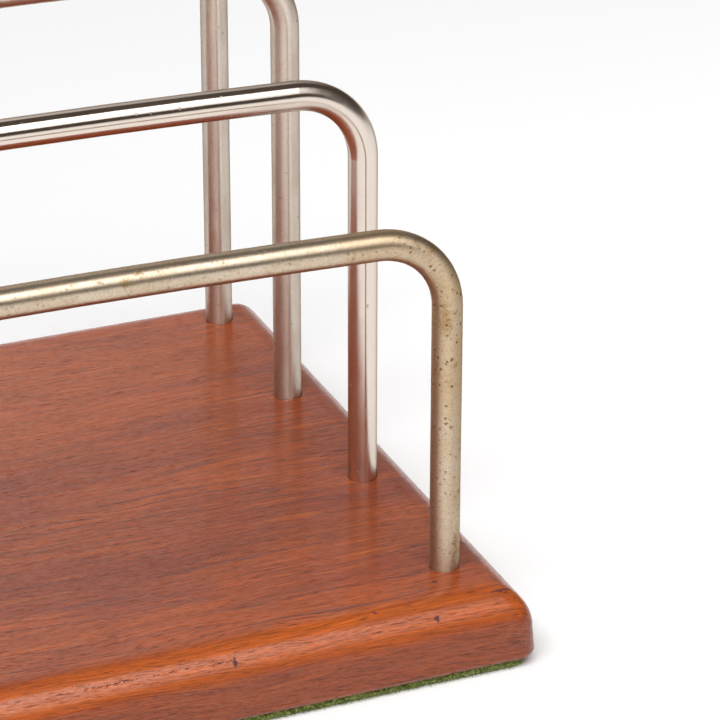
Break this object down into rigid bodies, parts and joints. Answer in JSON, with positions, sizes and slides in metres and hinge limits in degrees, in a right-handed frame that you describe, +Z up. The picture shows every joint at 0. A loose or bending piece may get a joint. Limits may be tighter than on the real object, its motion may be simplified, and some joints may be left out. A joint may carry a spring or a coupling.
{
  "type": "letter rack",
  "caption": "Desk letter rack: bent metal rod hoops, taller towards the back, standing in a rounded wooden board on a felt pad.",
  "frame": {"origin": "middle of the felt pad's underside, where the rack rests", "axes": "+X to the right along the front edge, +Y from the lowest hoop towards the tallest, +Z up"},
  "size_m": [0.1828, 0.1346, 0.1128],
  "materials": {
    "board_wood": "satin lacquer over reddish open-pored hardwood",
    "green_felt": "fuzzy felt",
    "tarnished_nickel": "dull plating with pin pits and brown stains",
    "polished_nickel": "bright polished plating",
    "satin_nickel": "satin plating with light wear"
  },
  "bodies": {
    "root": {"base_board": "board_wood", "felt_pad": "green_felt", "front_hoop": "tarnished_nickel", "second_hoop": "polished_nickel", "third_hoop": "satin_nickel", "rear_hoop": "satin_nickel"}
  },
  "joints": []
}
